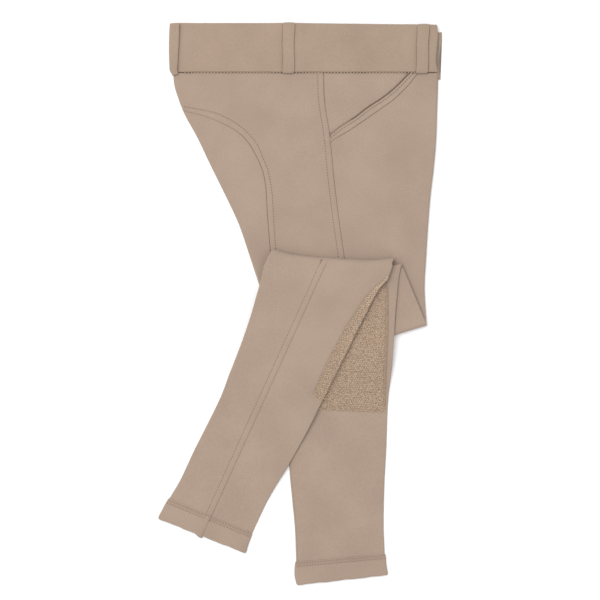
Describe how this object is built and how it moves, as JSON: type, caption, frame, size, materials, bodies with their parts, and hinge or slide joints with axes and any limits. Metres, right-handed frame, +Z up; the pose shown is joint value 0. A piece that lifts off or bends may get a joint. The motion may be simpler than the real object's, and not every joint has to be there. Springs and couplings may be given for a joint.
{
  "type": "folded riding breeches",
  "caption": "Tan knee-patch riding breeches folded flat: looped waistband, slant pocket, curved seat seam, legs turned up at the thighs and hanging down again.",
  "frame": {"origin": "middle of the folded garment's footprint, on the surface that it lies on", "axes": "+Y from the hems towards the waistband, +X towards the garment's front edge, +Z up, away from the surface"},
  "size_m": [0.3129, 0.62, 0.0187],
  "materials": {
    "breeches_cloth": "matt stretch twill, tan",
    "waistband_cloth": "matt stretch twill, tan, interfaced",
    "knee_patch_cloth": "nubby brushed suede cloth, darker tan"
  },
  "bodies": {
    "root": {"waistband_right": "waistband_cloth", "waistband_left": "waistband_cloth", "belt_loop_center_back": "waistband_cloth", "belt_loop_right_back": "waistband_cloth", "belt_loop_right_front": "waistband_cloth", "belt_loop_left_back": "waistband_cloth", "belt_loop_left_front": "waistband_cloth", "right_back": "breeches_cloth", "right_seat": "breeches_cloth", "right_front": "breeches_cloth", "right_pocket_facing": "breeches_cloth", "right_pocket_binding": "breeches_cloth", "left_back": "breeches_cloth", "left_seat": "breeches_cloth", "left_front": "breeches_cloth", "left_pocket_facing": "breeches_cloth", "left_pocket_binding": "breeches_cloth", "hidden_thigh_layers": "breeches_cloth", "hidden_fold_layers": "breeches_cloth", "left_front_return": "breeches_cloth", "right_back_lower": "breeches_cloth", "right_front_lower": "breeches_cloth", "right_hem": "breeches_cloth", "right_knee_patch": "knee_patch_cloth", "left_back_lower": "breeches_cloth", "left_front_lower": "breeches_cloth", "left_hem": "breeches_cloth", "left_knee_patch": "knee_patch_cloth"}
  },
  "joints": []
}
